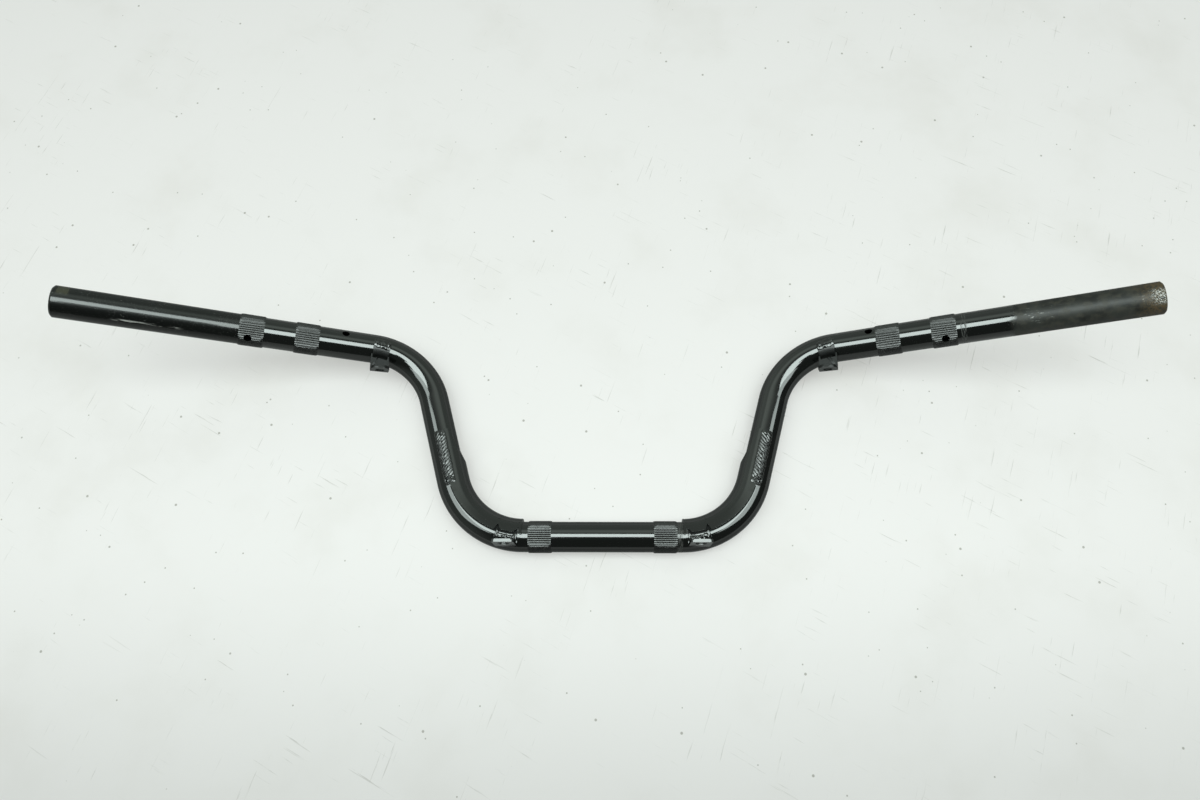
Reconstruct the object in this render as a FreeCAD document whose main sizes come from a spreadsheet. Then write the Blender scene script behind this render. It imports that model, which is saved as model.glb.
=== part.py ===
import FreeCAD, Part
import math
import os

import Sketcher

Vector = FreeCAD.Vector

# Two lengths closer than this are taken as equal when edges are picked
NEAR = 0.01

# Driving sizes, in millimetres and degrees. Stations from the end are measured
# along the grip from the open end of the tube. Angles round the tube start at
# the rider's side and grow towards the top of the bar.
SIZES = {
    # bent tube
    "tube_diameter": "22.2",
    "tube_wall": "2.0",
    "clamp_half_length": "59.0",
    "lower_bend_radius": "57.5",
    "riser_angle": "74.4",
    "riser_length": "67.0",
    "upper_bend_radius": "49.6",
    "grip_sweep": "24.0",
    "grip_length": "215.0",
    "end_chamfer": "1.2",
    # knurled bands
    "knurl_teeth": "48",
    "knurl_width": "17.0",
    "knurl_root": "0.1",
    "knurl_crest": "0.65",
    "knurl_helix": "17.0",
    "clamp_band_centre": "46.0",
    "grip_band_spacing": "38.5",
    "left_band_from_end": "126.0",
    "right_band_from_end": "135.5",
    # locating holes for the controls
    "locating_hole": "5.5",
    "left_outer_hole_from_end": "124.0",
    "right_outer_hole_from_end": "135.0",
    "outer_hole_angle": "-51.0",
    "left_inner_hole_from_end": "191.5",
    "right_inner_hole_from_end": "187.0",
    "inner_hole_angle": "29.0",
    # pressed saddles inside the lower bends
    "seat_gap": "0.05",
    "pressed_sheet": "2.2",
    "gusset_wrap": "180.0",
    "gusset_horn": "38.0",
    "fish_mouth_depth": "26.0",
    "fish_mouth_half_width": "10.2",
    # brackets under the upper bends, each web turned about its fold
    "fold_radius": "2.4",
    "upper_setback": "4.3",
    "upper_width": "13.5",
    "upper_turn": "7.0",
    "upper_strap_from": "-4.0",
    "upper_strap_to": "-48.0",
    "upper_reach": "20.6",
    "upper_flange_height": "12.8",
    "upper_corner": "5.0",
    "upper_hole": "6.6",
    # ear tabs beside the clamp
    "lower_offset": "11.0",
    "lower_width": "15.5",
    "lower_strap_from": "-2.0",
    "lower_strap_to": "-40.0",
    "lower_reach": "9.4",
    "lower_flange_height": "24.0",
    "lower_corner": "2.0",
    "lower_hole": "8.4",
    # weld beads, from a low toe to a high one round the tube
    "weld_ripple": "4.5",
    "weld_valley": "0.8",
    "weld_run_out": "0.6",
    "weld_toe": "0.3",
    "weld_chord": "8.0",
    "weld_crown": "1.4",
    "side_weld_low": "-22.0",
    "side_weld_high": "15.0",
    "side_weld_tail": "5.0",
    "upper_weld_low": "-12.0",
    "upper_weld_high": "22.0",
    "lower_weld_low": "-18.0",
    "lower_weld_high": "6.0",
}

doc = FreeCAD.newDocument("scooter_handlebar")
sheet = doc.addObject("Spreadsheet::Sheet", "sizes")
for row, (alias, value) in enumerate(SIZES.items(), 1):
    sheet.set(f"A{row}", alias)
    sheet.set(f"B{row}", value)
    sheet.setAlias(f"B{row}", alias)
doc.recompute()


def size(alias):
    """A driving size as a number."""
    return float(sheet.get(alias))


def bind(item, **expressions):
    """Ties properties of an object to expressions on the sheet."""
    for name, expression in expressions.items():
        item.setExpression(name, expression)
    return item


class Run:
    """A straight or bent stretch of the tube's axis. A bend turns from its heading towards its side."""

    def __init__(self, start, heading, length, side=None, radius=0.0):
        self.start = start
        self.heading = heading
        self.length = length
        self.side = side
        self.radius = radius

    def at(self, distance):
        """Point and direction of the axis at a distance from the start of the run."""
        if self.side is None:
            return self.start + self.heading * distance, Vector(self.heading)
        turn = distance / self.radius
        reach = self.heading * math.sin(turn) + self.side * (1 - math.cos(turn))
        return self.start + reach * self.radius, self.heading * math.cos(turn) + self.side * math.sin(turn)

    def edge(self, first, last):
        """The part of the run between two distances, as a line or an arc."""
        points = [self.at(distance)[0] for distance in (first, (first + last) / 2, last)]
        if self.side is None:
            return Part.LineSegment(points[0], points[2]).toShape()
        return Part.Arc(*points).toShape()


def right_half():
    """Runs of the axis from the middle of the clamp to the open end on the right."""
    riser_angle = math.radians(size("riser_angle"))
    sweep = math.radians(size("grip_sweep"))
    riser = Vector(math.cos(riser_angle), math.sin(riser_angle), 0)
    grip = Vector(math.cos(sweep), 0, math.sin(sweep))
    runs = [Run(Vector(), Vector(1, 0, 0), size("clamp_half_length"))]
    for heading, radius, length in (
        (riser, size("lower_bend_radius"), size("riser_length")),
        (grip, size("upper_bend_radius"), size("grip_length")),
    ):
        point, before = runs[-1].at(runs[-1].length)
        turn = before.getAngle(heading)
        side = heading - before * before.dot(heading)
        side.normalize()
        bend = Run(point, before, radius * turn, side, radius)
        runs += [bend, Run(bend.at(bend.length)[0], heading, length)]
    return runs


RUNS = right_half()
CLAMP_END = RUNS[0].length
LOWER_BEND_END = CLAMP_END + RUNS[1].length
UPPER_BEND_END = LOWER_BEND_END + RUNS[2].length + RUNS[3].length
TUBE_END = UPPER_BEND_END + RUNS[4].length


def stretch(first, last):
    """Edges of the right half of the axis between two stations."""
    edges = []
    begin = 0.0
    for run in RUNS:
        low = max(first - begin, 0.0)
        high = min(last - begin, run.length)
        if high > low:
            edges.append(run.edge(low, high))
        begin += run.length
    return edges


def frame(station, side=1):
    """Placement on the axis: x along the tube, z on the rider's side, y towards the top of the bar."""
    begin = 0.0
    for run in RUNS:
        if station <= begin + run.length or run is RUNS[-1]:
            break
        begin += run.length
    point, along = run.at(station - begin)
    if side < 0:
        point = Vector(-point.x, point.y, point.z)
        along = Vector(along.x, -along.y, -along.z)
    up = Vector(0, 0, 1) - along * along.z
    up.normalize()
    return FreeCAD.Placement(point, FreeCAD.Rotation(along, up.cross(along), up, "XZY"))


def radial(angle):
    """Direction across the tube at an angle from the rider's side."""
    turn = math.radians(angle)
    return Vector(0, math.sin(turn), math.cos(turn))


def path(name, edges):
    """A wire for a piece to be swept along."""
    wire = doc.addObject("Part::Feature", name)
    wire.Shape = Part.Wire(Part.__sortEdges__(edges))
    return wire


def sweep(name, section, spine):
    """A solid swept from a section along a whole wire."""
    solid = doc.addObject("Part::Sweep", name)
    solid.Sections = [section]
    solid.Spine = (spine, [f"Edge{i + 1}" for i in range(len(spine.Shape.Edges))])
    solid.Solid = True
    return solid


def fuse(name, shapes):
    """One solid from several that run into each other."""
    joined = doc.addObject("Part::MultiFuse", name)
    joined.Shapes = shapes
    joined.Refine = True
    return joined


def cut(name, base, tool):
    """A solid with another taken away."""
    result = doc.addObject("Part::Cut", name)
    result.Base = base
    result.Tool = tool
    result.Refine = True
    return result


def mirrored(name, source):
    """The left hand piece of a pair."""
    piece = doc.addObject("Part::Mirroring", name)
    piece.Source = source
    piece.Base = Vector()
    piece.Normal = Vector(1, 0, 0)
    return piece


def on_tube(station, side, angle, lift=0.0):
    """Placement at a station with z pointing straight out of the tube at an angle."""
    place = frame(station, side)
    out = radial(angle)
    turned = FreeCAD.Rotation(Vector(1, 0, 0), out.cross(Vector(1, 0, 0)), out, "XZY")
    return place.multiply(FreeCAD.Placement(out * lift, turned))


# Bent tube: one round section swept from end to end, with the bore taken out
whole = [RUNS[0].edge(-CLAMP_END, CLAMP_END)]
for edge in stretch(CLAMP_END, TUBE_END):
    whole += [edge, edge.mirror(Vector(), Vector(1, 0, 0))]
centre_line = path("centre_line", whole)


def round_bar(name, radius):
    """A solid bar that follows the whole centre line."""
    section = bind(doc.addObject("Part::Circle", name + "_section"), Radius=radius)
    start = frame(TUBE_END, -1)
    along = start.Rotation.multVec(Vector(1, 0, 0))
    section.Placement = FreeCAD.Placement(start.Base, FreeCAD.Rotation(Vector(0, 0, 1), along))
    return sweep(name, section, centre_line)


tube_bar = round_bar("tube_bar", "sizes.tube_diameter / 2")
bore_bar = round_bar("bore_bar", "sizes.tube_diameter / 2 - sizes.tube_wall")
seat_bar = round_bar("seat_bar", "sizes.tube_diameter / 2 + sizes.seat_gap")
doc.recompute()

TUBE_RADIUS = size("tube_diameter") / 2
tube_ends = doc.addObject("Part::Chamfer", "tube_ends")
tube_ends.Base = tube_bar
end_points = [frame(TUBE_END, side).Base for side in (-1, 1)]
end_edges = []
for number, edge in enumerate(tube_bar.Shape.Edges, 1):
    is_ring = abs(edge.Length - 2 * math.pi * TUBE_RADIUS) < NEAR
    if is_ring and any(edge.CenterOfMass.distanceToPoint(point) < NEAR for point in end_points):
        end_edges.append((number, size("end_chamfer"), size("end_chamfer")))
tube_ends.Edges = end_edges


def toothed_outline(x, turn):
    """One closed zigzag of knurl teeth round the tube."""
    teeth = int(size("knurl_teeth"))
    radii = (TUBE_RADIUS + size("knurl_crest"), TUBE_RADIUS + size("knurl_root"))
    points = []
    for step in range(2 * teeth):
        angle = turn + math.pi * step / teeth
        points.append(Vector(x, radii[step % 2] * math.cos(angle), radii[step % 2] * math.sin(angle)))
    return Part.makePolygon(points + points[:1])


def knurled_band(name, station, side, helix):
    """A raised band of teeth, straight along the tube or leaning by a helix angle."""
    width = size("knurl_width")
    twist = width * math.tan(math.radians(helix)) / TUBE_RADIUS
    spans = 2 if helix else 1
    outlines = []
    for step in range(spans + 1):
        share = step / spans - 0.5
        outlines.append(toothed_outline(width * share, twist * share))
    faces = [Part.Face(outlines[0]), Part.Face(outlines[-1])]
    for near, far in zip(outlines, outlines[1:]):
        faces += [Part.makeRuledSurface(a, b) for a, b in zip(near.Edges, far.Edges)]
    shell = Part.Shell(faces)
    shell.sewShape()
    band = doc.addObject("Part::Feature", name)
    band.Shape = Part.Solid(shell)
    band.Placement = frame(station, side)
    return band


bands = []
for side, word in ((-1, "left"), (1, "right")):
    outer = TUBE_END - size(word + "_band_from_end")
    lean = side * size("knurl_helix")
    bands.append(knurled_band(word + "_clamp_band", size("clamp_band_centre"), side, 0))
    bands.append(knurled_band(word + "_outer_band", outer, side, lean))
    bands.append(knurled_band(word + "_inner_band", outer - size("grip_band_spacing"), side, lean))

drilled = [bore_bar]
for side, word in ((-1, "left"), (1, "right")):
    for place in ("outer", "inner"):
        hole = doc.addObject("Part::Cylinder", f"{word}_{place}_hole")
        bind(hole, Radius="sizes.locating_hole / 2", Height="sizes.tube_diameter")
        hole.Placement = on_tube(
            TUBE_END - size(f"{word}_{place}_hole_from_end"), side, size(f"{place}_hole_angle")
        )
        drilled.append(hole)
tube = cut("handlebar_tube", fuse("tube_with_bands", [tube_ends] + bands), fuse("tube_hollows", drilled))


SEAT_RADIUS = TUBE_RADIUS + size("seat_gap")
SHEET_RADIUS = SEAT_RADIUS + size("pressed_sheet")


def saddle(name, first, last, start_angle, end_angle):
    """Sheet formed to the tube: a slice of a ring swept along part of the axis."""
    begin = frame(first)
    ring = doc.addObject("Sketcher::SketchObject", name + "_section")
    axes = FreeCAD.Rotation(
        begin.Rotation.multVec(Vector(0, 0, 1)),
        begin.Rotation.multVec(Vector(0, 1, 0)),
        begin.Rotation.multVec(Vector(-1, 0, 0)),
        "XYZ",
    )
    ring.Placement = FreeCAD.Placement(begin.Base, axes)
    low = math.radians(min(start_angle, end_angle))
    high = math.radians(max(start_angle, end_angle))
    for radius in (SHEET_RADIUS, SEAT_RADIUS):
        circle = Part.Circle(Vector(), Vector(0, 0, 1), radius)
        ring.addGeometry(Part.ArcOfCircle(circle, low, high))
    for angle in (low, high):
        ray = Vector(math.cos(angle), math.sin(angle), 0)
        ring.addGeometry(Part.LineSegment(ray * SEAT_RADIUS, ray * SHEET_RADIUS))
    for arc in (0, 1):
        ring.addConstraint(Sketcher.Constraint("Coincident", arc, 3, -1, 1))
    for line, end in ((2, 1), (3, 2)):
        ring.addConstraint(Sketcher.Constraint("Coincident", line, 1, 1, end))
        ring.addConstraint(Sketcher.Constraint("Coincident", line, 2, 0, end))
        ring.addConstraint(Sketcher.Constraint("PointOnObject", -1, 1, line))
    outside = ring.addConstraint(Sketcher.Constraint("Radius", 0, SHEET_RADIUS))
    inside = ring.addConstraint(Sketcher.Constraint("Radius", 1, SEAT_RADIUS))
    ring.renameConstraint(outside, "outside")
    ring.renameConstraint(inside, "inside")
    seat = "sizes.tube_diameter / 2 + sizes.seat_gap"
    ring.setExpression("Constraints.outside", f"{seat} + sizes.pressed_sheet")
    ring.setExpression("Constraints.inside", seat)
    return sweep(name, ring, path(name + "_path", stretch(first, last)))


# Gussets: half shells inside the lower bends, square at the clamp and fish mouthed on the riser
right_shell = saddle(
    "right_gusset_shell", CLAMP_END, LOWER_BEND_END + size("gusset_horn"), 0, size("gusset_wrap")
)
mouth_outline = doc.addObject("Part::Ellipse", "fish_mouth_outline")
bind(mouth_outline, MajorRadius="sizes.fish_mouth_depth", MinorRadius="sizes.fish_mouth_half_width")
horn_tips = frame(LOWER_BEND_END + size("gusset_horn"))
mouth_axes = FreeCAD.Rotation(Vector(1, 0, 0), Vector(0, 0, 1), Vector(0, -1, 0), "XYZ")
mouth_outline.Placement = horn_tips.multiply(FreeCAD.Placement(Vector(), mouth_axes))
fish_mouth = doc.addObject("Part::Extrusion", "fish_mouth")
fish_mouth.Base = mouth_outline
fish_mouth.DirMode = "Custom"
fish_mouth.Dir = horn_tips.Rotation.multVec(Vector(0, 1, 0))
fish_mouth.Solid = True
bind(fish_mouth, LengthFwd="sizes.tube_diameter")
right_gusset = cut("right_gusset", right_shell, fish_mouth)


def bracket(name, prefix, station, place):
    """Strap formed to the tube, a short web and a flange that stands towards the rider with a bolt hole."""
    half = size(f"{prefix}_width") / 2
    strap_to = size(f"{prefix}_strap_to")
    strap = saddle(name + "_strap", station - half, station + half, size(f"{prefix}_strap_from"), strap_to)
    web_top = SHEET_RADIUS * math.cos(math.radians(strap_to))
    foot = web_top - size("pressed_sheet")
    web = doc.addObject("Part::Box", name + "_web")
    bind(web, Length=f"sizes.{prefix}_width", Width=f"sizes.{prefix}_reach", Height="sizes.pressed_sheet")
    flange = doc.addObject("Part::Box", name + "_flange")
    bind(
        flange, Length=f"sizes.{prefix}_width", Width="sizes.pressed_sheet",
        Height=f"sizes.{prefix}_flange_height",
    )
    corner = Vector(-half, -size(f"{prefix}_reach"), foot)
    for box in (web, flange):
        box.Placement = place.multiply(FreeCAD.Placement(corner, FreeCAD.Rotation()))
    angle = fuse(name + "_angle", [web, flange])
    doc.recompute()
    inverse = place.inverse()
    rounded = doc.addObject("Part::Fillet", name + "_folded")
    rounded.Base = angle
    top = foot + size(f"{prefix}_flange_height")
    corners = []
    for number, edge in enumerate(angle.Shape.Edges, 1):
        middle = inverse.multVec(edge.CenterOfMass)
        at_reach = abs(middle.y + size(f"{prefix}_reach")) < NEAR
        if at_reach and abs(middle.z - foot) < NEAR:
            corners.append((number, size("fold_radius"), size("fold_radius")))
        across = abs(middle.y + size(f"{prefix}_reach") - size("pressed_sheet") / 2) < NEAR
        if across and abs(middle.z - top) < NEAR and abs(abs(middle.x) - half) < NEAR:
            corners.append((number, size(f"{prefix}_corner"), size(f"{prefix}_corner")))
    rounded.Edges = corners
    bolt_hole = doc.addObject("Part::Cylinder", name + "_hole")
    bind(bolt_hole, Radius=f"sizes.{prefix}_hole / 2", Height="sizes.pressed_sheet * 3")
    hole_height = top - size(f"{prefix}_width") / 2
    hole_start = Vector(0, -size(f"{prefix}_reach") + 2 * size("pressed_sheet"), hole_height)
    hole_axis = FreeCAD.Rotation(Vector(0, 0, 1), Vector(0, -1, 0))
    bolt_hole.Placement = place.multiply(FreeCAD.Placement(hole_start, hole_axis))
    formed = cut(name + "_formed", fuse(name + "_blank", [strap, rounded]), seat_bar)
    return cut(name, formed, bolt_hole)


upper_station = UPPER_BEND_END - size("upper_setback")
upper_fold = Vector(0, SHEET_RADIUS * math.sin(math.radians(size("upper_strap_to"))), 0)
web_turn = FreeCAD.Placement(Vector(), FreeCAD.Rotation(Vector(0, 0, 1), -size("upper_turn")), upper_fold)
upper_place = frame(upper_station).multiply(web_turn)
right_bracket = bracket("right_upper_bracket", "upper", upper_station, upper_place)
lower_station = CLAMP_END + size("lower_offset")
level = FreeCAD.Placement(frame(lower_station).Base, FreeCAD.Rotation())
right_ear = bracket("right_lower_ear", "lower", lower_station, level)


def carried(start, station):
    """Placement at a station, turned as the one at a start would be if carried along the axis without twist."""
    first = frame(start).Rotation
    here = frame(station)
    forward = Vector(1, 0, 0)
    turn = FreeCAD.Rotation(first.multVec(forward), here.Rotation.multVec(forward))
    return FreeCAD.Placement(here.Base, turn.multiply(first))


def seat_corners(radius, first, last):
    """Corners of a few chords laid just outside an arc round the tube."""
    chords = math.ceil((last - first) / size("weld_chord"))
    step = (last - first) / chords
    reach = radius / math.cos(math.radians(step / 2))
    return [radial(first + step * number) * reach for number in range(chords + 1)]


def bead_outline(seats, swell):
    """Section of a bead: the seats it lies on from low to high, then its crown back from the high toe."""
    corners = []
    for radius, first, last in seats:
        corners += seat_corners(radius, first, last)
    low, high = seats[0][1], seats[-1][2]
    low_toe = corners[0].Length + size("weld_toe")
    high_toe = corners[-1].Length + size("weld_toe")
    steps = math.ceil((high - low) / size("weld_chord"))
    for step in range(steps + 1):
        share = step / steps
        crown = size("weld_crown") * swell * math.sin(math.pi * share)
        reach = high_toe + (low_toe - high_toe) * share + crown
        corners.append(radial(high + (low - high) * share) * reach)
    return corners


def bead(name, first, last, seats):
    """A rippled weld bead laid along the tube between two stations, over the seats given for its section."""
    steps = 2 * round((last - first) / size("weld_ripple"))
    sections = []
    for step in range(steps + 1):
        swell = 1 if step % 2 else size("weld_valley")
        if step in (0, steps):
            swell = size("weld_run_out")
        section = doc.addObject("Part::Polygon", f"{name}_section{step}")
        section.Nodes = bead_outline(seats, swell)
        section.Close = True
        section.Placement = carried(first, first + (last - first) * step / steps)
        sections.append(section)
    weld = doc.addObject("Part::Loft", name)
    weld.Sections = sections
    weld.Solid = True
    weld.Ruled = True
    return weld


# Weld beads: from the tube up on to each sheet, past the edge that is welded
OVER_SHEET = SHEET_RADIUS + size("seat_gap")
edge_gap = math.degrees(size("seat_gap") / SEAT_RADIUS)
right_side_weld = bead(
    "right_gusset_weld", LOWER_BEND_END - size("side_weld_tail"), LOWER_BEND_END + size("gusset_horn"),
    [(SEAT_RADIUS, size("side_weld_low"), -edge_gap), (OVER_SHEET, -edge_gap, size("side_weld_high"))],
)
half_upper = size("upper_width") / 2
strap_edge = size("upper_strap_from") + edge_gap
right_upper_weld = bead(
    "right_bracket_weld", upper_station - half_upper, upper_station + half_upper,
    [(OVER_SHEET, size("upper_weld_low"), strap_edge), (SEAT_RADIUS, strap_edge, size("upper_weld_high"))],
)
half_lower = size("lower_width") / 2
right_lower_weld = bead(
    "right_ear_weld", lower_station - half_lower, lower_station + half_lower,
    [(OVER_SHEET, size("lower_weld_low"), size("lower_weld_high"))],
)

pieces = [tube]
for right in (right_gusset, right_bracket, right_ear, right_side_weld, right_upper_weld, right_lower_weld):
    pieces += [right, mirrored(right.Name.replace("right", "left"), right)]
doc.recompute()

# Every object has to be sound before any file is written
for item in doc.Objects:
    if "Invalid" in item.State or "Error" in item.State:
        raise RuntimeError(f"{item.Name} did not build: {item.State}")
os.makedirs("parts", exist_ok=True)
for piece in pieces:
    shape = piece.Shape
    if shape.isNull() or not shape.isValid() or len(shape.Solids) != 1:
        raise RuntimeError(f"{piece.Label} is not one sound solid: {len(shape.Solids)} solids")
for piece in pieces:
    piece.Shape.exportStep(f"parts/{piece.Label}.step")
    box = piece.Shape.BoundBox
    print(f"{piece.Label}: {piece.Shape.Volume:.1f} mm3, {box.XLength:.1f} x {box.YLength:.1f} x {box.ZLength:.1f}")
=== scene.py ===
# %% [markdown]
# A used scooter handlebar lies on a pale table. The imported CAD model is the frame: every piece below sits where the
# CAD says, in metres, and the pieces made here ride on its only body. The box of the CAD model is kept, and the table
# is laid under its lowest point.

# %% The frame
import math
import bmesh
import bpy
import numpy as np
from mathutils import Matrix, Vector, noise


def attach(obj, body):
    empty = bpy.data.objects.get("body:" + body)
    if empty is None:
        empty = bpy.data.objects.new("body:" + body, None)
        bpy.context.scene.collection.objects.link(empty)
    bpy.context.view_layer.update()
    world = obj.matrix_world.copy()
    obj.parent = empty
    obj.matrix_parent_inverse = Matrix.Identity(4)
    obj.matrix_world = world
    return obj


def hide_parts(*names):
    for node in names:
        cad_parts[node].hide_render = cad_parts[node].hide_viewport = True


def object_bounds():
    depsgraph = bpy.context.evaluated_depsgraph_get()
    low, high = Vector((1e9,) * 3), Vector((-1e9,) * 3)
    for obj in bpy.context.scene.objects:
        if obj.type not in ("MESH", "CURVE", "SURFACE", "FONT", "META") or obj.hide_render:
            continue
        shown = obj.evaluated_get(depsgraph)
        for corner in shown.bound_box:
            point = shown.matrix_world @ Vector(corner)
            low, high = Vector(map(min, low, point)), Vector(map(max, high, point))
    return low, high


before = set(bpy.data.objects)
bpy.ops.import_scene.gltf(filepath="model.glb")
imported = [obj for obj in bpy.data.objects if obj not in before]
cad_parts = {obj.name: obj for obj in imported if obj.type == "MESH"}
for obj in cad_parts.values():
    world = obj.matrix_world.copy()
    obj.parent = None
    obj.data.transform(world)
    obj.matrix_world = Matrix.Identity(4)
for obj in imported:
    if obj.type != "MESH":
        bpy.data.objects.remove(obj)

MM = 0.001
cad_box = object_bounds()
print("CAD box in mm:", [[round(v / MM, 1) for v in corner] for corner in cad_box])

# %% [markdown]
# The photograph was taken from above, from the rider's side of the clamp, with a wide lens. The camera stands where a
# pinhole camera fitted to both edges of the tube puts it, so that the render can be laid over the photograph.

# %% Camera
PHOTO_WIDTH = 1200
FOCAL_PIXELS = 800.0
SENSOR_MM = 36.0
CAMERA_PLACE = Vector((8.21, -92.74, 592.4)) * MM
CAMERA_TURN = Matrix.Rotation(0.001, 3, "Z") @ Matrix.Rotation(-0.017, 3, "Y") @ Matrix.Rotation(-0.325, 3, "X")

camera_data = bpy.data.cameras.new("photo_camera")
camera_data.sensor_width = SENSOR_MM
camera_data.lens = SENSOR_MM * FOCAL_PIXELS / PHOTO_WIDTH
camera_data.clip_start = 0.01
camera = bpy.data.objects.new("photo_camera", camera_data)
camera.matrix_world = Matrix.Translation(CAMERA_PLACE) @ CAMERA_TURN.transposed().to_4x4()
bpy.context.scene.collection.objects.link(camera)
bpy.context.scene.camera = camera
print("lens", camera_data.lens, "mm")

# %% [markdown]
# Shader maths reads better as plain expressions than as rows of node calls. A Wire is an output socket that can be
# added, subtracted, multiplied and divided: each operation adds one Math node. A Graph holds the nodes of a material
# or of the room, with a single method that adds any other node, and a Finish is the graph of one material.

# %% Writing materials as expressions
class Wire:
    """An output socket that takes part in expressions."""

    def __init__(self, graph, socket):
        self.graph = graph
        self.socket = socket

    def math(self, operation, first, second=0.0):
        return self.graph.node("ShaderNodeMath", {"operation": operation}, {0: first, 1: second})

    def __add__(self, other):
        return self.math("ADD", self, other)

    __radd__ = __add__

    def __sub__(self, other):
        return self.math("SUBTRACT", self, other)

    def __rsub__(self, other):
        return self.math("SUBTRACT", other, self)

    def __mul__(self, other):
        return self.math("MULTIPLY", self, other)

    __rmul__ = __mul__

    def __truediv__(self, other):
        return self.math("DIVIDE", self, other)

    def __abs__(self):
        return self.math("ABSOLUTE", self)

    def most(self, other):
        return self.math("MAXIMUM", self, other)

    def rise(self, low, high):
        """0 below low, 1 above high, smooth between. With low above high it falls instead."""
        ends = (0.0, 1.0) if low < high else (1.0, 0.0)
        inputs = {"Value": self, "From Min": min(low, high), "From Max": max(low, high)}
        inputs.update({"To Min": ends[0], "To Max": ends[1]})
        return self.graph.node("ShaderNodeMapRange", {"interpolation_type": "SMOOTHSTEP"}, inputs)

    def within(self, low, high, soft):
        """1 between low and high, with soft ends that lie inside them."""
        return self.rise(low, low + soft) * self.rise(high, high - soft)


class Graph:
    """A node tree, built up from nodes and expressions."""

    def __init__(self, tree):
        self.tree = tree

    def node(self, kind, settings=(), inputs=(), output=0):
        """Adds a node, makes its settings, then fills its inputs with values or links."""
        made = self.tree.nodes.new(kind)
        for name, value in dict(settings).items():
            setattr(made, name, value)
        for name, value in dict(inputs).items():
            self.put(made.inputs[name], value)
        return Wire(self, made.outputs[output])

    def put(self, socket, value):
        if isinstance(value, Wire):
            self.tree.links.new(value.socket, socket)
        else:
            socket.default_value = value

    def parts(self, vector):
        """The three numbers of a vector."""
        first = self.node("ShaderNodeSeparateXYZ", inputs={0: vector})
        return [Wire(self, socket) for socket in first.socket.node.outputs]

    def mix(self, factor, first, second):
        """One colour over another."""
        return self.node("ShaderNodeMix", {"data_type": "RGBA"}, {0: factor, 6: first, 7: second}, output=2)


class Finish(Graph):
    """One material with a Principled shader."""

    def __init__(self, name):
        self.material = bpy.data.materials.new(name)
        self.material.use_nodes = True
        super().__init__(self.material.node_tree)
        self.shader = self.tree.nodes["Principled BSDF"]

    def lacquer(self, weight=1.0, roughness=0.05):
        """A clear hard skin over the colour, as thick stove enamel has."""
        self.set(Coat_Weight=weight, Coat_Roughness=roughness, Coat_IOR=1.8)

    def set(self, **values):
        """Fills the shader's sockets: Base_Color stands for Base Color."""
        for name, value in values.items():
            self.put(self.shader.inputs[name.replace("_", " ")], value)

    def place(self):
        """Where a point is on the object, in metres."""
        return self.node("ShaderNodeTexCoord", output=3)

    def blotches(self, vector, size_mm, detail=3.0, roughness=0.55):
        """Cloudy values round 0.5, with features of about that size."""
        inputs = {"Vector": vector, "Scale": 1.0 / (size_mm * MM), "Detail": detail, "Roughness": roughness}
        return self.node("ShaderNodeTexNoise", inputs=inputs)

    def stretched(self, vector, along, across):
        """A vector scaled along its first two axes, for streaks."""
        return self.node("ShaderNodeVectorMath", {"operation": "MULTIPLY"}, {0: vector, 1: (along, across, 1.0)})

    def bump(self, height, depth_mm):
        """A fine relief of that depth."""
        return self.node("ShaderNodeBump", inputs={"Height": height, "Distance": depth_mm * MM, "Strength": 1.0})


def grey(value, tint=(0.0, 0.0, 0.0)):
    return tuple(value + t for t in tint) + (1.0,)


print("materials are written with Wire and Finish")

# %% [markdown]
# The table is pale, scuffed and slightly soiled. It is only the stage: a large plane under the lowest point of the
# bar. Its colour holds painted shade: in what the gloss paint mirrors it is dimmed, most of all close to the bar,
# where the bar itself keeps the light away, and towards the front it is darker for every ray. Half of what the camera
# sees of it is its own pale colour, so that the shadow stays light.

# %% Table
TABLE_PALE = (0.85, 0.81, 0.80, 1.0)
TABLE_SOILED = (0.80, 0.76, 0.74, 1.0)
TABLE_SCUFF = (0.40, 0.38, 0.34, 1.0)
TABLE_UNLIT = (0.0, 0.0, 0.0, 1.0)
TABLE_FILL = 0.5
FILL_TINT = (0.95, 1.0, 0.985, 1.0)
TABLE_HALF = 4.0

table_mesh = bpy.data.meshes.new("table")
table_z = cad_box[0][2]
corners = [(-TABLE_HALF, -TABLE_HALF), (TABLE_HALF, -TABLE_HALF), (TABLE_HALF, TABLE_HALF), (-TABLE_HALF, TABLE_HALF)]
table_mesh.from_pydata([(x, y, table_z) for x, y in corners], [], [(0, 1, 2, 3)])
table = bpy.data.objects.new("table", table_mesh)
bpy.context.scene.collection.objects.link(table)
table_top = Finish("table_top")
place = table_top.place()
soil = table_top.blotches(place, 90.0, 4.0).rise(0.45, 0.8)
patches = table_top.blotches(place, 60.0, 2.0).rise(0.42, 0.62)
colour = table_top.mix(soil, TABLE_PALE, TABLE_SOILED)
for angle in (0.5, 1.9):
    turned = table_top.node("ShaderNodeVectorRotate", {"rotation_type": "Z_AXIS"}, {"Vector": place, "Angle": angle})
    scuffs = table_top.blotches(table_top.stretched(turned, 0.05, 1.0), 2.2, 4.0, 0.6).rise(0.64, 0.72)
    colour = table_top.mix(0.45 * scuffs * patches, colour, TABLE_SCUFF)
for spacing in (24.0, 15.0):
    specks = table_top.node("ShaderNodeTexVoronoi", inputs={"Vector": place, "Scale": 1.0 / (spacing * MM)})
    colour = table_top.mix(0.9 * specks.rise(0.05, 0.03), colour, TABLE_SCUFF)
seen = TABLE_FILL * table_top.node("ShaderNodeLightPath", output="Is Camera Ray")
mirrored = table_top.node("ShaderNodeLightPath", output="Is Glossy Ray")
further_off = table_top.node("ShaderNodeLightPath", output="Ray Length").rise(0.025, 0.09)
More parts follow.
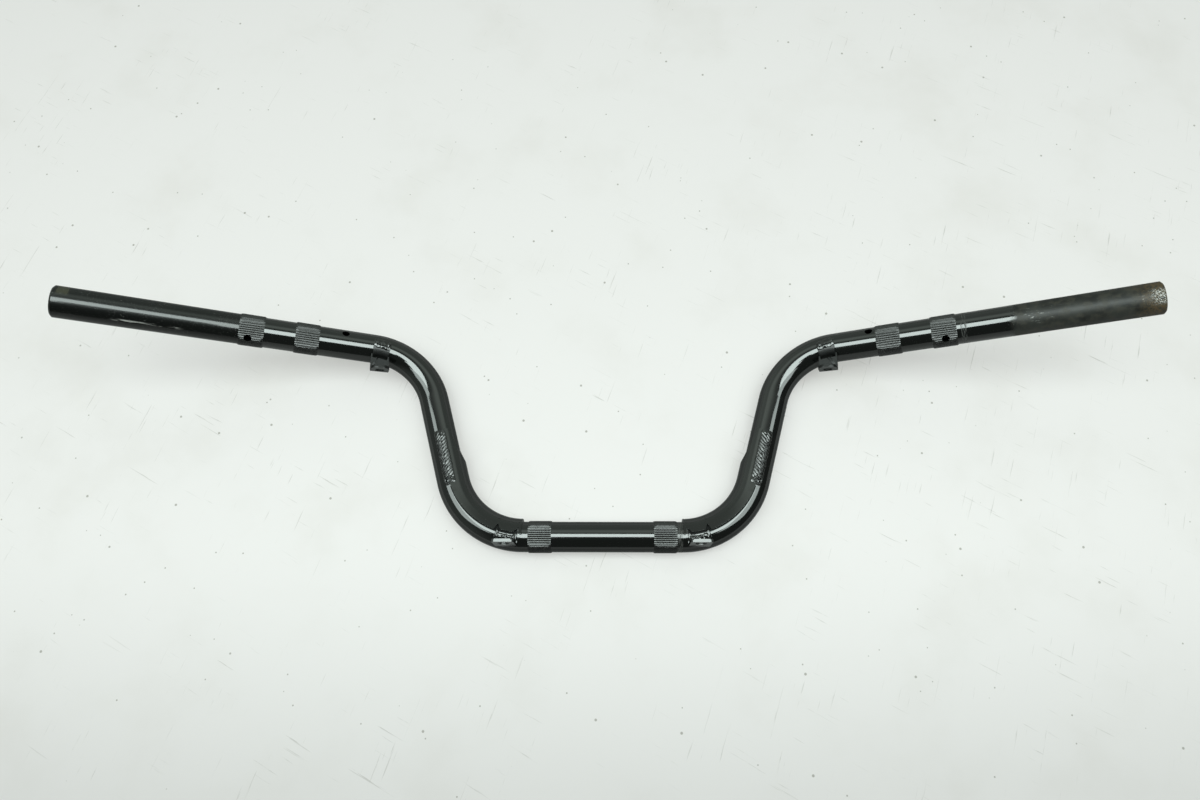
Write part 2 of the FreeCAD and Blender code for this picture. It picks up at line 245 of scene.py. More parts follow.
# Painted shade: up to a quarter darker towards the front for every ray, and darker in what the gloss paint mirrors,
# most of all close to the bar.
towards_front = table_top.parts(place)[1].rise(0.02, -0.25)
painted_mirror_shade = mirrored * (0.88 - 0.16 * further_off)
colour = table_top.mix(painted_mirror_shade.most(0.26 * towards_front), colour, TABLE_UNLIT)
tinted = table_top.node("ShaderNodeMix", {"data_type": "RGBA", "blend_type": "MULTIPLY"},
                        {0: 1.0, 6: colour, 7: FILL_TINT}, output=2)
own_colour = table_top.mix(seen, TABLE_UNLIT, tinted)
table_top.set(Base_Color=table_top.mix(seen, colour, TABLE_UNLIT), Emission_Color=own_colour, Emission_Strength=1.0,
              Roughness=0.55)
table_mesh.materials.append(table_top.material)
print("table at z", round(table_z / MM, 2), "mm")

# %% [markdown]
# Black gloss paint shows little but what it mirrors, so the room matters as much as the paint. Reading the highlights
# along the bar backwards gives the room of the photograph: a bright soft panel overhead, cut short where the
# photographer stands, dimmer panels at both sides of it, a paler wall behind and dark sides. The panels are area
# lamps. The rest is the world, where places are given as slopes: so much sideways or back for each unit of height.

# %% The light of the room
PANEL_HEIGHT = 1.28
PANEL_TINT = (0.88, 1.0, 0.965)
ROOM_TINT = (0.86, 1.0, 0.90)
WATTS_OF_LEVEL = 4.0
PANELS = {
    "centre_panel": (-0.15, 0.15, -0.18, 0.31, 4.2),
    "left_panel": (-0.62, -0.15, -0.36, 0.31, 4.2),
    "right_panel": (0.15, 0.62, -0.36, 0.31, 4.2),
    "left_side_panel": (-1.40, -0.62, -0.60, 0.45, 2.1),
    "right_side_panel": (0.62, 1.40, -0.60, 0.45, 2.1),
}

for name, (left, right, front, back, level) in PANELS.items():
    lamp = bpy.data.lights.new(name, "AREA")
    lamp.shape = "RECTANGLE"
    lamp.size = right - left
    lamp.size_y = back - front
    lamp.energy = level * WATTS_OF_LEVEL * lamp.size * lamp.size_y
    lamp.color = PANEL_TINT
    holder = bpy.data.objects.new(name, lamp)
    holder.location = ((left + right) / 2, (front + back) / 2, PANEL_HEIGHT)
    bpy.context.scene.collection.objects.link(holder)

world = bpy.data.worlds.new("room")
bpy.context.scene.world = world
world.use_nodes = True
sky = Graph(world.node_tree)
sideways, backwards, upwards = sky.parts(sky.node("ShaderNodeTexCoord"))
height = upwards.most(0.02)
depth = backwards / height
glow = depth.rise(0.30, 0.60) * depth.rise(1.30, 0.70) * (abs(sideways) / height).rise(1.6, 0.9)
level = 0.055 + 0.21 * backwards.rise(0.05, 0.45) + 0.35 * glow + 0.12 * sideways.rise(-0.3, -0.8)
light = sky.node("ShaderNodeVectorMath", {"operation": "SCALE"}, {0: ROOM_TINT, "Scale": level})
sky.put(world.node_tree.nodes["Background"].inputs["Color"], light)
bpy.context.scene.view_settings.view_transform = "Standard"
print(len(PANELS), "panels and a room of", len(world.node_tree.nodes), "nodes")

# %% [markdown]
# The bar is one tube, bent four times: along the clamp, up a riser, and out along a swept-back grip. Every other piece
# sits on that tube, so a place on the bar is given as the maker would give it: a station along the axis from the
# middle of the clamp, negative on the left, and an angle round the tube from the rider's side towards the top.

# %% The axis of the tube
TUBE_RADIUS = 11.1
TUBE_WALL = 2.0
CLAMP_HALF = 59.0
RISER_ANGLE = math.radians(74.4)
GRIP_SWEEP = math.radians(24.0)
BENDS = ((57.5, 67.0), (49.6, 215.0))
HEADINGS = (
    np.array([1.0, 0.0, 0.0]),
    np.array([math.cos(RISER_ANGLE), math.sin(RISER_ANGLE), 0.0]),
    np.array([math.cos(GRIP_SWEEP), 0.0, math.sin(GRIP_SWEEP)]),
)


def axis_runs():
    """Straight and bent runs of the right half: first station, start, heading, side, radius and length."""
    runs = [(0.0, np.zeros(3), HEADINGS[0], None, 0.0, CLAMP_HALF)]
    for before, after, (radius, straight) in zip(HEADINGS, HEADINGS[1:], BENDS):
        first, start, heading, side, _, length = runs[-1]
        begin = start + heading * length
        turn = math.acos(float(before @ after))
        side = after - before * (before @ after)
        side /= np.linalg.norm(side)
        runs.append((first + length, begin, before, side, radius, radius * turn))
        end = begin + radius * (before * math.sin(turn) + side * (1 - math.cos(turn)))
        runs.append((first + length + radius * turn, end, after, None, 0.0, straight))
    return runs


RUNS = axis_runs()
LOWER_BEND_END = RUNS[2][0]
UPPER_BEND_END = RUNS[4][0]
TUBE_END = RUNS[4][0] + RUNS[4][5]


def axis_frame(station):
    """Point on the axis, then the directions along the tube, to the top and to the rider."""
    distance = abs(station)
    first, start, heading, side, radius, length = [run for run in RUNS if run[0] <= distance][-1]
    if side is None:
        point = start + heading * (distance - first)
        along = heading
    else:
        turn = (distance - first) / radius
        point = start + radius * (heading * math.sin(turn) + side * (1 - math.cos(turn)))
        along = heading * math.cos(turn) + side * math.sin(turn)
    if station < 0:
        point = point * (-1, 1, 1)
        along = along * (1, -1, -1)
    rider = np.array([0.0, 0.0, 1.0]) - along * along[2]
    rider /= np.linalg.norm(rider)
    return point, along, np.cross(rider, along), rider


def on_bar(station, angle, radius):
    """A point in metres at a station, an angle in degrees and a distance from the axis in millimetres."""
    point, _, top, rider = axis_frame(station)
    turn = math.radians(angle)
    return Vector((point + radius * (top * math.sin(turn) + rider * math.cos(turn))) * MM)


print("stations in mm:", [round(v, 1) for v in (CLAMP_HALF, LOWER_BEND_END, UPPER_BEND_END, TUBE_END)])

# %% [markdown]
# A skin over the tube is a row of rings. One function lays rings of points at stations, with a radius that may change
# along and round the tube, and joins the last ring to the first, so the skin is always closed. Station and distance
# round the tube are kept as a UV map, because wear on a tube runs along it or round it.

# %% Rings into skins
TUBE_MAP = "round_the_tube"


def ring_skin(name, stations, radius_at, columns, twist=0.0):
    """A closed skin of rings, turned by a twist in degrees a millimetre. radius_at takes a ring's number and station
    and the angles before the twist."""
    angles = np.arange(columns) * 360.0 / columns - 180.0
    points = []
    for number, station in enumerate(stations):
        turns = np.radians(angles + twist * (station - stations[0]))
        centre, _, top, rider = axis_frame(station)
        radii = np.broadcast_to(radius_at(number, station, angles), angles.shape)
        spokes = np.outer(np.sin(turns), top) + np.outer(np.cos(turns), rider)
        points.append((centre + spokes * radii[:, None]) * MM)
    rings = len(stations)
    faces = []
    places = []
    for ring in range(rings):
        following = (ring + 1) % rings
        for column in range(columns):
            beside = (column + 1) % columns
            faces.append((ring * columns + column, ring * columns + beside,
                          following * columns + beside, following * columns + column))
            step = 2 * math.pi * TUBE_RADIUS * MM / columns
            for number, wide in ((ring, 0), (ring, 1), (following, 1), (following, 0)):
                turned = math.radians(angles[column] + twist * (stations[number] - stations[0]))
                places += [stations[number] * MM, turned * TUBE_RADIUS * MM + wide * step]
    mesh = bpy.data.meshes.new(name)
    mesh.from_pydata(np.concatenate(points).tolist(), [], faces)
    mesh.uv_layers.new(name=TUBE_MAP).data.foreach_set("uv", places)
    return finished(mesh)


def finished(mesh, sharp=40.0):
    """Faces outwards, smooth shading and sharp edges by angle."""
    work = bmesh.new()
    work.from_mesh(mesh)
    bmesh.ops.recalc_face_normals(work, faces=work.faces)
    work.to_mesh(mesh)
    work.free()
    mesh.shade_smooth()
    mesh.set_sharp_from_angle(angle=math.radians(sharp))
    return mesh


def show(mesh, slot, node, *finishes):
    """Puts a mesh in the scene as the piece that stands for a CAD node."""
    piece = bpy.data.objects.new(mesh.name, mesh)
    bpy.context.scene.collection.objects.link(piece)
    for finish in finishes:
        mesh.materials.append(finish.material)
    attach(piece, "root")
    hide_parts(node)
    return piece


print("a skin keeps its map in", TUBE_MAP)

# %% [markdown]
# The tube itself has an outer wall, a small chamfer and an open bore. Rings lie closer together in the bends than on
# the straights. The same rings run back inside as the bore.

# %% Tube wall and bore
END_CHAMFER = 1.2
TUBE_COLUMNS = 96
STRAIGHT_STEP = 6.0
BEND_STEP = 1.6


def spaced(first, last, step):
    return list(np.linspace(first, last, max(2, round(abs(last - first) / step) + 1)))[:-1]


right_stations = []
for first, _, _, side, _, length in RUNS:
    right_stations += spaced(first, first + length, STRAIGHT_STEP if side is None else BEND_STEP)
right_stations = [s for s in right_stations if s < TUBE_END - END_CHAMFER - 1.0] + [TUBE_END - END_CHAMFER, TUBE_END]
outer_stations = [-s for s in reversed(right_stations[1:])] + right_stations
bore_stations = list(reversed(outer_stations))


def wall_radius(number, station, angles):
    if number >= len(outer_stations):
        return TUBE_RADIUS - TUBE_WALL
    return TUBE_RADIUS - max(0.0, abs(station) - (TUBE_END - END_CHAMFER))


tube_wall = ring_skin("tube_wall", outer_stations + bore_stations, wall_radius, TUBE_COLUMNS)
print("tube wall of", len(tube_wall.polygons), "faces")

# %% [markdown]
# Knurled bands were rolled into the tube wherever something is clamped: straight teeth beside the stem clamp, leaning
# teeth where the switches and levers sit. A rolled tooth is a rounded ridge between two grooves, so the radius follows
# a row of round-topped teeth. For the lean, each ring of the skin is turned a little further than the last.

# %% Knurled bands
KNURL_TEETH = 48
KNURL_WIDTH = 17.0
KNURL_ROOT = 0.28
KNURL_CREST = 0.62
KNURL_HELIX = math.tan(math.radians(17.0))
KNURL_COLUMNS = KNURL_TEETH * 8
KNURL_STEP = 1.0
BAND_FOOT = 0.6
CLAMP_BAND = 46.0
GRIP_BANDS = {-1: (126.0, 164.5), 1: (135.5, 174.0)}


def knurled_band(name, centre, lean):
    """One band of teeth as a closed ring that rises out of the tube wall."""
    first = centre - KNURL_WIDTH / 2
    last = centre + KNURL_WIDTH / 2
    inside = list(np.arange(first, last + 0.01, KNURL_STEP))
    stations = [first, first] + inside + [last, last]

    def radius_at(number, station, angles):
        if number in (0, len(stations) - 1):
            return TUBE_RADIUS - BAND_FOOT
        off_crest = np.abs((angles * KNURL_TEETH / 360.0) % 1.0 - 0.5) * 2
        wave = 1 - off_crest ** 2
        edge = min(1.0, (min(station - first, last - station) + 0.25) / 0.7)
        return TUBE_RADIUS + KNURL_ROOT + (KNURL_CREST - KNURL_ROOT) * wave * edge

    return ring_skin(name, stations, radius_at, KNURL_COLUMNS, -math.degrees(lean / TUBE_RADIUS))


bands = []
for side, word in ((-1, "left"), (1, "right")):
    bands.append(knurled_band(f"{word}_clamp_band", side * CLAMP_BAND, 0.0))
    for which, from_end in zip(("outer", "inner"), GRIP_BANDS[side]):
        bands.append(knurled_band(f"{word}_{which}_band", side * (TUBE_END - from_end), side * KNURL_HELIX))
print(len(bands), "bands of", len(bands[0].polygons), "faces")

# %% [markdown]
# The controls are kept from turning by pegs in small holes through one wall. They are drilled with a Boolean modifier,
# which is applied at once, so that the piece that is kept is one plain mesh.

# %% Locating holes
HOLE_RADIUS = 2.75
HOLES = ((-124.0, -51.0), (-191.5, 29.0), (135.0, -51.0), (187.0, 29.0))


def drill(mesh, cutters):
    """A mesh with the cutters taken away."""
    scratch = bpy.data.objects.new(mesh.name, mesh)
    bpy.context.scene.collection.objects.link(scratch)
    for cutter in cutters:
        modifier = scratch.modifiers.new("hole", "BOOLEAN")
        modifier.operation = "DIFFERENCE"
        modifier.solver = "EXACT"
        modifier.object = cutter
    bpy.context.view_layer.update()
    drilled = bpy.data.meshes.new_from_object(scratch.evaluated_get(bpy.context.evaluated_depsgraph_get()))
    bpy.data.objects.remove(scratch)
    return drilled


def peg(station, angle):
    """A cylinder that stands through one wall of the tube."""
    work = bmesh.new()
    bmesh.ops.create_cone(work, cap_ends=True, segments=40, radius1=HOLE_RADIUS * MM, radius2=HOLE_RADIUS * MM,
                          depth=12.0 * MM)
    mesh = bpy.data.meshes.new("peg")
    work.to_mesh(mesh)
    work.free()
    holder = bpy.data.objects.new("peg", mesh)
    out = on_bar(station, angle, 2.0) - on_bar(station, angle, 1.0)
    holder.matrix_world = Matrix.Translation(on_bar(station, angle, TUBE_RADIUS)) @ (
        out.to_track_quat("Z", "X").to_matrix().to_4x4())
    bpy.context.scene.collection.objects.link(holder)
    return holder


pegs = []
for from_end, angle in HOLES:
    pegs.append(peg(math.copysign(TUBE_END - abs(from_end), from_end), angle))
whole = bmesh.new()
for mesh in [tube_wall] + bands:
    before = len(whole.faces)
    whole.from_mesh(drill(mesh, pegs))
    whole.faces.ensure_lookup_table()
    for face in whole.faces[before:]:
        face.material_index = 0 if mesh is tube_wall else 1
for holder in pegs:
    bpy.data.objects.remove(holder)
tube_skin = bpy.data.meshes.new("tube_skin")
whole.to_mesh(tube_skin)
whole.free()
finished(tube_skin)
print("drilled tube of", len(tube_skin.polygons), "faces")

# %% [markdown]
# The tube's paint is a thick gloss black that has been used hard. It is dulled and scratched where the twist grip
# turned on the right, rubbed under the left grip, stained near the left end and rusty at the right rim. The knurled
# bands kept less gloss, and the seams along the gussets none. Everything that changes along the bar reads the station
# from the tube's own map, in metres.

# %% Gloss black of the tube
BLACK = grey(0.0020, (0.0, 0.0003, 0.0001))
DULL_BLACK = grey(0.030, (0.001, 0.002, -0.002))
DUST = grey(0.16, (0.01, 0.008, 0.0))
BARE_STEEL = grey(0.42, (0.01, 0.0, -0.02))
CHIPPED = grey(0.60, (0.02, 0.01, -0.02))
RUST = (0.105, 0.068, 0.030, 1.0)
WORN_BROWN = (0.048, 0.044, 0.034, 1.0)
OLIVE_STAIN = (0.055, 0.052, 0.030, 1.0)


def tube_black():
    finish = Finish("gloss_black_tube")
    place = finish.place()
    along = finish.node("ShaderNodeUVMap", {"uv_map": TUBE_MAP})
    station, around, _ = finish.parts(along)
    clouds = finish.blotches(place, 14.0, 4.0)
    grain = finish.blotches(place, 1.3, 3.0)
    streaks = finish.blotches(finish.stretched(along, 0.16, 1.0), 0.9, 5.0, 0.7)
    long_streaks = finish.blotches(finish.stretched(along, 0.05, 1.0), 1.0, 3.0, 0.6)
    rings = finish.blotches(finish.stretched(along, 1.0, 0.12), 0.7, 4.0, 0.7)
    speckle = finish.blotches(place, 0.7, 2.0, 0.6)

    wander = station + 0.010 * (clouds - 0.5)
    throttle = wander.rise(0.388, 0.393)
    left_grip = wander.rise(-0.358, -0.364)
    rim_rust = (station + 0.018 * (clouds - 0.5)).rise(0.460, 0.475) * grain.rise(0.35, 0.6)
    stain = station.within(-0.479, -0.470, 0.002) * around.rise(0.0, 0.004) * clouds.rise(0.3, 0.5)
    clamp_ring = station.within(0.0545, 0.0590, 0.0010) * rings.rise(0.40, 0.60)
    throttle_ring = station.within(0.3565, 0.3615, 0.0010) * rings.rise(0.45, 0.60)
    scraped = station.within(-0.446, -0.398, 0.008) * around.within(-0.0120, -0.0096, 0.0007)
    grip_scratches = scraped * long_streaks.rise(0.48, 0.54)
    scratches = streaks.rise(0.62, 0.70) * (0.12 * left_grip + 0.8 * throttle * station.rise(0.450, 0.40))
    chips = 0.35 * speckle.rise(0.68, 0.73) * left_grip
    front_side = around.rise(-0.0095, -0.006) * around.rise(0.004, 0.001)
    scrapes = streaks.rise(0.60, 0.67) * station.rise(0.384, 0.390) * station.rise(0.425, 0.398)
    rim_chips = speckle.rise(0.52, 0.60) * station.rise(0.470, 0.478) + streaks.rise(0.60, 0.66) * rim_rust
    bared = front_side * scrapes.most(rim_chips)
    mottled = throttle * finish.blotches(place, 5.0, 4.0, 0.65).rise(0.45, 0.62)
    dust = speckle.rise(0.62, 0.76) * clouds.rise(0.5, 0.7)
    rubbed = clamp_ring.most(throttle_ring)
    distance = abs(station)
    seam = distance.rise(0.0615, 0.0625) * distance.rise(0.129, 0.127) * around.rise(-0.0012, -0.0007)
    seam = seam * around.rise(0.008, 0.007)

    colour = finish.mix(throttle * (0.3 + 0.7 * clouds.rise(0.3, 0.7)), BLACK, DULL_BLACK)
    colour = finish.mix(0.6 * mottled, colour, WORN_BROWN)
    colour = finish.mix(0.2 * dust, colour, DUST)
    colour = finish.mix(0.7 * stain, colour, OLIVE_STAIN)
    colour = finish.mix(0.45 * scratches, colour, DUST)
    colour = finish.mix(grip_scratches, colour, BARE_STEEL)
    colour = finish.mix(0.35 * rubbed, colour, DUST)
    colour = finish.mix(0.75 * rim_rust, colour, RUST)
    colour = finish.mix(chips, colour, BARE_STEEL)
    colour = finish.mix(bared, colour, CHIPPED)
    dulled = (0.30 * throttle + 0.10 * mottled).most(0.14 * left_grip).most(0.45 * rim_rust).most(0.25 * stain)
    roughness = 0.10 + 0.05 * clouds + dulled + 0.2 * scratches + 0.3 * rubbed + 0.1 * dust + 0.7 * seam
    height = 0.35 * grain + 0.3 * streaks * throttle + 0.6 * rim_rust * speckle
    finish.set(Base_Color=colour, Roughness=roughness, Normal=finish.bump(height, 0.02))
    worn_skin = throttle.most(rim_rust).most(bared).most(chips).most(rubbed)
    worn_skin = worn_skin.most(0.55 * left_grip).most(0.6 * scratches)
    finish.lacquer(1.0 - worn_skin.most(seam), 0.05)
    return finish


def knurl_black():
    """Thin paint over the teeth: less gloss, greyer in blotches where clamps rubbed it."""
    finish = Finish("black_knurl")
    place = finish.place()
    clouds = finish.blotches(place, 5.0, 3.0)
    grain = finish.blotches(place, 0.8, 2.0)
    rubbed = clouds.rise(0.42, 0.70) * grain.rise(0.40, 0.60)
    finish.set(Base_Color=finish.mix(0.15 * rubbed, grey(0.006), DUST), Roughness=0.12 + 0.15 * rubbed)
    finish.lacquer(1.0 - 0.6 * rubbed, 0.08)
    return finish


tube_finish = tube_black()
show(tube_skin, "gloss_black_paint", "handlebar_tube", tube_finish, knurl_black())
print("tube finish of", len(tube_finish.tree.nodes), "nodes")

# %% [markdown]
# Each gusset is a strip of sheet pressed over the inside of a lower bend. Its clamp end is cut square and its riser
# end is cut to a fish mouth, which leaves two horns along the riser so that the weld is long. The fish mouth comes
# from an ellipse. The sheet springs open a little along its edge, which leaves the dark seam, and that edge is eaten
# away over the lower ear, where the arc of the welder melted it. A bevel rounds the sheared edges.

# %% Gussets
SEAT_GAP = 0.05
SHEET = 2.2
SHEET_TOP = TUBE_RADIUS + SEAT_GAP + SHEET
GUSSET_HORN = 38.0
MOUTH_DEPTH = 26.0
MOUTH_HALF = 10.2
GUSSET_COLUMNS = 64
GUSSET_ROWS = 150
EDGE_ROUNDING = 0.6
FLARE = 1.2
FLARE_ANGLE = 24.0
LOWER_STATION = CLAMP_HALF + 11.0
EAR_HALF = 7.75
MELT_CLIMB = 17.0
MELT_RAGGED = 2.6
SHEET_CLEAR = 5.5
WELD_HOLD = 4.0
SPRING_FADE = 8.0


def gusset_end(angle):
    """Station where the sheet stops at an angle: the horn's tip, or the edge of the fish mouth."""
    across = abs(SHEET_TOP * math.cos(math.radians(angle))) / MOUTH_HALF
    tip = LOWER_BEND_END + GUSSET_HORN
    return tip if across >= 1 else tip - MOUTH_DEPTH * math.sqrt(1 - across * across)


def ear_edge(station):
    """Angle of the melted edge over the ear: low in the middle, climbing at both ends of the ear."""
    off = abs(abs(station) - LOWER_STATION)
    climb = MELT_CLIMB * min(1.0, max(0.0, (off - EAR_HALF + 3.0) / 3.5))
    return climb + MELT_RAGGED * noise.noise(Vector((station * 0.55, 2.0, 0.0))) - 0.5


def sheet_edge(station):
    """Angle where the sheet begins on the rider's side."""
    if abs(abs(station) - LOWER_STATION) > EAR_HALF + 1.0:
        return 0.0
    return max(0.0, ear_edge(station) + SHEET_CLEAR)


def spring(angle, station):
    """How far the sheet stands off the tube towards its edge on the rider's side, up to the long weld."""
    free = min(1.0, max(0.0, (LOWER_BEND_END - WELD_HOLD - abs(station)) / SPRING_FADE))
    return free * FLARE * max(0.0, 1.0 - angle / FLARE_ANGLE) ** 2


def gusset(side, word):
    points = []
    for radius in (SHEET_TOP, TUBE_RADIUS + SEAT_GAP):
        for share in np.linspace(0.0, 1.0, GUSSET_COLUMNS + 1):
            last = gusset_end(180.0 * share)
            for station in np.linspace(CLAMP_HALF, last, GUSSET_ROWS + 1):
                begin = sheet_edge(side * station)
                angle = begin + (180.0 - begin) * share
                points.append(on_bar(side * station, angle, radius + spring(angle, station)))
    rows = GUSSET_ROWS + 1
    layer = rows * (GUSSET_COLUMNS + 1)
    faces = []
    for column in range(GUSSET_COLUMNS):
        for row in range(GUSSET_ROWS):
            corner = column * rows + row
            quad = (corner, corner + 1, corner + rows + 1, corner + rows)
            faces += [quad, tuple(v + layer for v in reversed(quad))]
    rim = [column * rows for column in range(GUSSET_COLUMNS + 1)]
    rim += [GUSSET_COLUMNS * rows + row for row in range(1, rows)]
    rim += [column * rows + GUSSET_ROWS for column in range(GUSSET_COLUMNS - 1, -1, -1)]
    rim += list(range(GUSSET_ROWS - 1, 0, -1))
    for near, far in zip(rim, rim[1:] + rim[:1]):
        faces.append((near, far, far + layer, near + layer))
    mesh = bpy.data.meshes.new(f"{word}_gusset_sheet")
    mesh.from_pydata(points, [], faces)
    return finished(mesh)


def soften(piece):
    """Rounds the sharp edges of a piece of sheet."""
    bevel = piece.modifiers.new("sheared_edges", "BEVEL")
    bevel.width = EDGE_ROUNDING * MM
    bevel.segments = 3
    bevel.limit_method = "ANGLE"
    bevel.angle_limit = math.radians(50)
    bevel.harden_normals = False
    return piece


def formed_black(name, roughness, coat):
    """Black on the pressed pieces, with dust in patches. Lips that stand upright keep their gloss."""
    finish = Finish(name)
    lip = finish.parts(finish.node("ShaderNodeNewGeometry", output="Normal"))[1].rise(-0.5, -0.8)
    place = finish.place()
    clouds = finish.blotches(place, 9.0, 4.0)
    grain = finish.blotches(place, 1.1, 3.0)
    speckle = finish.blotches(place, 0.6, 2.0, 0.6)
    dust = speckle.rise(0.62, 0.76) * clouds.rise(0.45, 0.65)
    colour = finish.mix(0.22 * dust, BLACK, DUST)
    roughness = roughness - (roughness - 0.12) * lip + 0.10 * clouds + 0.12 * dust
    finish.set(Base_Color=colour, Roughness=roughness, Normal=finish.bump(0.6 * grain + 0.8 * clouds, 0.05))
    finish.lacquer(lip.most(coat))
    return finish


formed_finish = formed_black("gloss_black_formed", 0.15, 1.0)
for side, word in ((-1, "left"), (1, "right")):
    sheet = soften(show(gusset(side, word), "gloss_black_paint", f"{word}_gusset", formed_finish))
    print(sheet.name, len(sheet.data.polygons), "faces")

# %% [markdown]
# The bracket tabs and ears come over from the CAD model as they are, because folded sheet is what CAD does well. They
# only get their shared corners joined again, a slight rounding of the edges and the paint, which is thin and dull on
# the upper brackets.

# %% Brackets and ears
bracket_finish = formed_black("dull_black_formed", 0.34, 0.15)
for word in ("left", "right"):
    for name, finish in (("upper_bracket", bracket_finish), ("lower_ear", formed_finish)):
        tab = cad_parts[f"{word}_{name}"]
        weld = tab.modifiers.new("joined_corners", "WELD")
        weld.merge_threshold = 0.002 * MM
        soften(tab)
        tab.data.materials.clear()
        tab.data.materials.append(finish.material)
        print(tab.name, len(tab.data.polygons), "faces")

# %% [markdown]
# The beads were laid by hand: a row of overlapping scales with uneven edges, painted over. Every bead is a patch
# between two angles round the tube, which may change along it. Its height follows a crown across, scales along, which
# lean on the long beads, and some seeded noise. Its foot is buried in what it joins, and a long bead ends in a small
# crater. Where the weld did not run together, a dark slit is left along the bead.

# %% Weld beads
BEAD_ROWS = 44
BEAD_STEP = 0.28
BEAD_FOOT = 0.5
END_TAPER = 2.5
CRATER = 2.1
CALM_TIP = 9.0
CALM_CRATER = 6.0
SLIT_HALF = 2.6


def bead(name, first, last, low_at, high_at, base_at, crown, scale, slant, rough, jumble, seed, crater=None,
         slit_at=None):
    """A closed bead between two stations. Edges and slit are angles at a station, the base is a radius at an angle.
    The scales have a length and lean by a number of scales across the bead. Rough and jumble are shares of noise."""
    side = math.copysign(1, first)
    columns = round(abs(last - first) / BEAD_STEP)
    points = []
    for layer in (0, 1):
        for column in range(columns + 1):
            station = first + (last - first) * column / columns
            from_end = min(column, columns - column) * BEAD_STEP
            ends = min(1.0, from_end / END_TAPER + 0.04) ** 0.5
            wander = noise.noise(Vector((station * 0.22, seed, 0.0))) * 2.0
            middle = (low_at(station) + high_at(station)) / 2 + wander
            half = (high_at(station) - low_at(station)) / 2 * (0.6 + 0.4 * ends)
            clear = 1.0
            if crater:
                clear = min(1.0, (columns - column) * BEAD_STEP / CALM_TIP, abs(station - crater) / CALM_CRATER)
            for row in range(BEAD_ROWS + 1):
                across = row / BEAD_ROWS
                ragged = noise.noise(Vector((station * 0.6, across * 3.0, seed + 5.0))) * 1.5
                angle = middle + half * (2 * across - 1) + ragged
                dome = math.sin(math.pi * across) ** 0.6
                curve = -slant * across if slant else 2.0 * (across - 0.5) ** 2
                jitter = noise.noise(Vector((station * 0.35, across * 2.0, seed * 3.1))) * jumble
                scales = math.sin(math.pi * ((station * side / scale + curve + jitter) % 1.0))
                lumps = noise.noise(Vector((station * 0.5, across * 3.5, seed + 2.0)))
                lift = crown * ends * dome * (0.5 + 0.5 * scales * clear + rough * lumps)
                if crater:
                    away = math.hypot(station - crater, (across - 0.45) * 2 * half * 0.21) / CRATER
                    lift += 0.5 * crown * (math.exp(-((away - 1.25) / 0.35) ** 2) - 2.6 * math.exp(-away ** 4))
                top = base_at(angle) + lift - BEAD_FOOT * (1 - min(1.0, dome * 2.5))
                if slit_at:
                    opened = math.exp(-((angle - slit_at(station)) / SLIT_HALF) ** 4)
                    top -= (top - TUBE_RADIUS) * opened
                points.append(on_bar(station, angle, top if layer == 0 else TUBE_RADIUS - BEAD_FOOT))
    rows = BEAD_ROWS + 1
    total = rows * (columns + 1)
    faces = []
    for column in range(columns):
        for row in range(BEAD_ROWS):
            corner = column * rows + row
            quad = (corner, corner + 1, corner + rows + 1, corner + rows)
            faces += [quad, tuple(v + total for v in reversed(quad))]
    rim = list(range(BEAD_ROWS)) + [column * rows + BEAD_ROWS for column in range(columns)]
    rim += [columns * rows + row for row in range(BEAD_ROWS, 0, -1)]
    rim += [column * rows for column in range(columns, 0, -1)]
    for near, far in zip(rim, rim[1:] + rim[:1]):
        faces.append((near, far, far + total, near + total))
    mesh = bpy.data.meshes.new(name)
    mesh.from_pydata(points, [], faces)
    return finished(mesh, 70.0)


def weld_black():
    """Gloss black over weld scales, thin on the crests."""
    finish = Finish("painted_weld")
    place = finish.place()
    clouds = finish.blotches(place, 3.0, 4.0)
    grain = finish.blotches(place, 0.5, 3.0)
    thin = grain.rise(0.58, 0.72) * clouds.rise(0.4, 0.6)
    colour = finish.mix(0.4 * thin, BLACK, DUST)
    finish.set(Base_Color=colour, Roughness=0.12 + 0.2 * thin, Normal=finish.bump(grain, 0.03))
    finish.lacquer()
    return finish


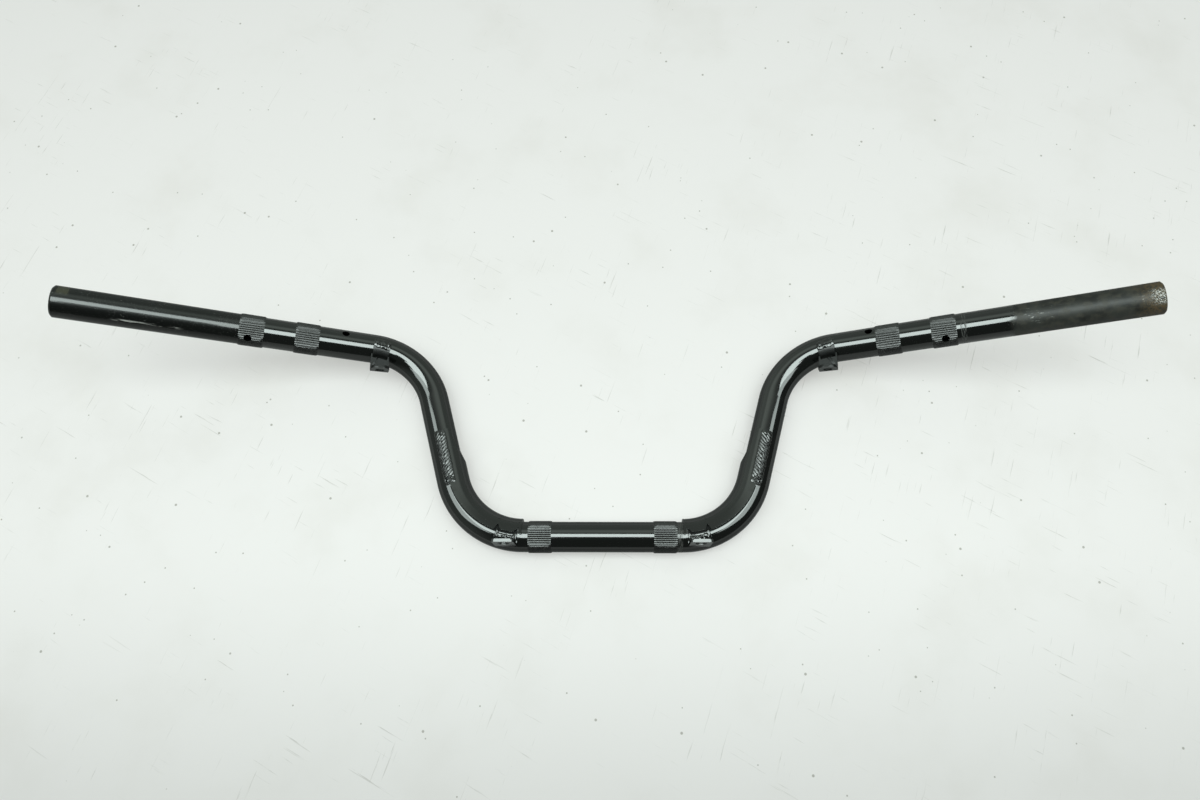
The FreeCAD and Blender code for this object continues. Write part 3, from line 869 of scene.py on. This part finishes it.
weld_finish = weld_black()
UPPER_STATION = UPPER_BEND_END - 4.3
STRAP_HALF = 6.75
LONG_BEAD_TAIL = 5.0


def step_up(angle):
    """From the tube up on to the gusset's edge, as a slope."""
    share = min(1.0, max(0.0, (angle + 22.0) / 40.0))
    return TUBE_RADIUS + (SHEET_TOP - TUBE_RADIUS) * share


def strap_slit(station):
    """The slit in the bracket's bead: along the strap's edge, closing where it climbs at both ends."""
    off = abs(abs(station) - UPPER_STATION)
    return -2.0 + 14.0 * max(0.0, off - STRAP_HALF + 2.0)


def off_strap(angle):
    """From the tube down on to the bracket's strap."""
    share = min(1.0, max(0.0, (2.0 - angle) / 4.0))
    return TUBE_RADIUS + (SHEET_TOP - TUBE_RADIUS) * share


for side, word in ((-1, "left"), (1, "right")):
    tail = LOWER_BEND_END - LONG_BEAD_TAIL
    long_bead = bead(
        f"{word}_riser_bead", side * tail, side * (LOWER_BEND_END + GUSSET_HORN), lambda s: -24.0, lambda s: 23.0,
        step_up, crown=1.2, scale=2.6, slant=4.0, rough=0.06, jumble=0.08, seed=3.0 + side,
        crater=side * (tail + 3.0))
    show(long_bead, "painted_weld", f"{word}_gusset_weld", weld_finish)
    tab_bead = bead(
        f"{word}_tab_bead", side * (UPPER_STATION - STRAP_HALF), side * (UPPER_STATION + STRAP_HALF),
        lambda s: -16.0, lambda s: 27.0, off_strap, crown=0.9, scale=7.0, slant=0.0, rough=0.30 - 0.1 * side,
        jumble=0.6, seed=8.0 + side, slit_at=strap_slit)
    show(tab_bead, "painted_weld", f"{word}_bracket_weld", weld_finish)
    ear_bead = bead(
        f"{word}_ear_bead", side * (LOWER_STATION - EAR_HALF), side * (LOWER_STATION + EAR_HALF), lambda s: -25.0,
        lambda s: ear_edge(s) - 3.0, lambda angle: SHEET_TOP - 0.2, crown=1.3, scale=4.5, slant=0.0, rough=0.5,
        jumble=0.6, seed=13.0 + side)
    show(ear_bead, "painted_weld", f"{word}_ear_weld", weld_finish)
    print(word, "beads of", [len(m.polygons) for m in (long_bead, tab_bead, ear_bead)], "faces")
